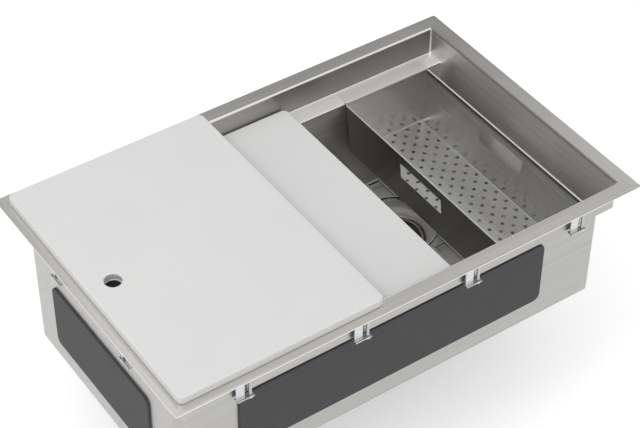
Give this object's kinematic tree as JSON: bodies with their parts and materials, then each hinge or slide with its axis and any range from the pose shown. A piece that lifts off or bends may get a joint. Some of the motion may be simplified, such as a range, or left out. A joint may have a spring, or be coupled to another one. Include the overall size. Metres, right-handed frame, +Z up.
{
  "type": "workstation kitchen sink",
  "caption": "Deep rectangular stainless sink with front and back ledges that carry a perforated colander and a cutting board, a second board on its rim, a wire grid and a basket strainer.",
  "frame": {"origin": "centre of the rim's top plane, 1.5 mm above the worktop that the flange lies on", "axes": "+X along the sink to the colander, +Y to the back, +Z up; the bowl hangs below zero"},
  "size_m": [0.8256, 0.5206, 0.4436],
  "materials": {
    "bowl_steel": "satin brushed along each panel",
    "sound_pad": "matt, lightly pebbled",
    "rail_steel": "mill finish",
    "clip_steel": "bright zinc plate",
    "strainer_steel": "polished",
    "gasket_rubber": "matt",
    "ring_fibre": "matt pressed fibre",
    "washer_nylon": "smooth",
    "tail_chrome": "polished plate",
    "basket_steel": "polished",
    "seal_rubber": "matt",
    "grid_steel": "polished wire",
    "foot_rubber": "matt",
    "colander_steel": "satin, fine brushed",
    "board_plastic": "fine matt grain"
  },
  "bodies": {
    "sink": {"sink_bowl": "bowl_steel", "sound_pad_front": "sound_pad", "sound_pad_back": "sound_pad", "sound_pad_left": "sound_pad", "sound_pad_right": "sound_pad", "sound_pad_floor_left": "sound_pad", "sound_pad_floor_right": "sound_pad", "clip_rails": "rail_steel", "rim_clips": "clip_steel", "clip_screws": "clip_steel", "strainer_body": "strainer_steel", "strainer_gasket": "gasket_rubber", "friction_ring": "ring_fibre", "lock_nut": "strainer_steel", "tail_washer": "washer_nylon", "tailpiece": "tail_chrome", "slip_nut": "tail_chrome"},
    "basket": {"basket_cup": "basket_steel", "basket_post": "basket_steel", "basket_knob": "basket_steel", "basket_seal": "seal_rubber"},
    "grid": {"grid_frame": "grid_steel", "grid_wires": "grid_steel", "grid_cross_wires": "grid_steel", "grid_drain_ring": "grid_steel", "grid_pegs": "grid_steel", "grid_feet": "foot_rubber", "grid_bumpers": "foot_rubber"},
    "colander": {"colander": "colander_steel"},
    "lower_board": {"lower_board": "board_plastic"},
    "upper_board": {"upper_board": "board_plastic"}
  },
  "joints": [
    {"name": "basket_lift", "type": "slide", "parent": "sink", "child": "basket", "axis": [0, 0, 1], "range_m": [0, 0.07]},
    {"name": "grid_lift", "type": "slide", "parent": "sink", "child": "grid", "axis": [0, 0, 1], "range_m": [0, 0.065]},
    {"name": "colander_lift", "type": "slide", "parent": "sink", "child": "colander", "axis": [0, 0, 1], "range_m": [0, 0.2]},
    {"name": "lower_board_slide", "type": "slide", "parent": "sink", "child": "lower_board", "axis": [1, 0, 0], "range_m": [-0.045, 0.094]},
    {"name": "upper_board_slide", "type": "slide", "parent": "sink", "child": "upper_board", "axis": [1, 0, 0], "range_m": [-0.014, 0.225]}
  ]
}
